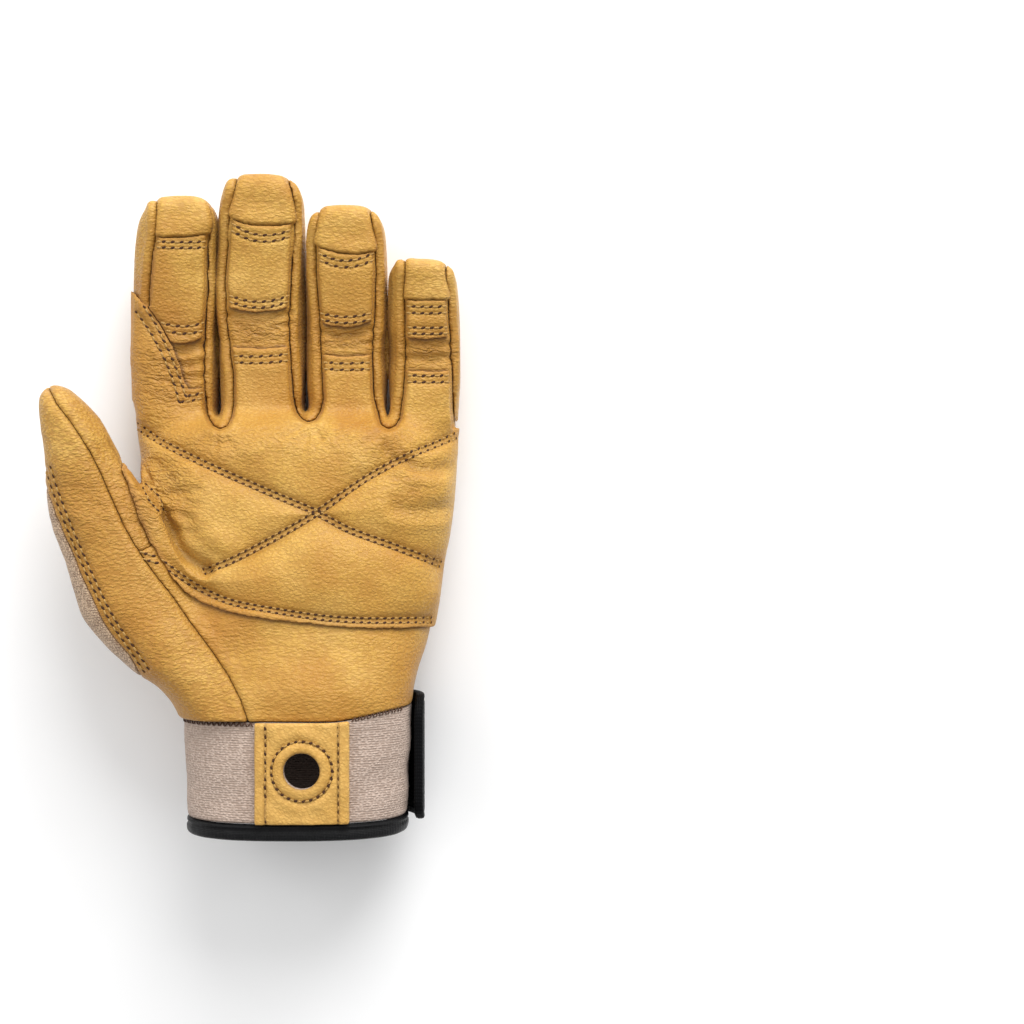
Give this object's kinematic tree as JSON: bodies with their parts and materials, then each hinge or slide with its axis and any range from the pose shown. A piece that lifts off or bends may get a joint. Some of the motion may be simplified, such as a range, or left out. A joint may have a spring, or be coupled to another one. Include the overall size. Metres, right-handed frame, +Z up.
{
  "type": "climbing glove",
  "caption": "Left leather climbing and belay glove with a stitched palm patch, knit back, elastic cuff, pull tab with a hook hole and a wrist strap, lying palm up.",
  "frame": {"origin": "middle of the bounding box seen from above, on the surface that the glove lies on", "axes": "+X from the thumb side to the little finger side, +Y from the cuff to the fingertips, +Z up out of the palm"},
  "size_m": [0.1414, 0.224, 0.0542],
  "materials": {
    "grain_leather": "tan grain leather with fine creases",
    "patch_leather": "tan grain leather, second layer",
    "knit_cloth": "brown and cream knit",
    "elastic_band": "pinkish beige ribbed elastic",
    "black_binding": "charcoal woven binding",
    "black_strap": "charcoal woven strap"
  },
  "bodies": {
    "root": {"palm_leather": "grain_leather", "index_back_leather": "grain_leather", "middle_back_leather": "grain_leather", "ring_back_leather": "grain_leather", "little_back_leather": "grain_leather", "fourchette_index_middle": "grain_leather", "fourchette_middle_ring": "grain_leather", "fourchette_ring_little": "grain_leather", "index_side_wall": "grain_leather", "little_side_wall": "grain_leather", "thumb_outer_leather": "grain_leather", "thumb_inner_leather": "grain_leather", "palm_patch": "patch_leather", "index_pad": "patch_leather", "middle_pad": "patch_leather", "ring_pad": "patch_leather", "little_pad": "patch_leather", "cuff_tab": "patch_leather", "hook_hole_ring": "patch_leather", "hand_back_cloth": "knit_cloth", "cuff_elastic": "elastic_band", "cuff_hem_binding": "black_binding", "closure_strap": "black_strap"}
  },
  "joints": []
}
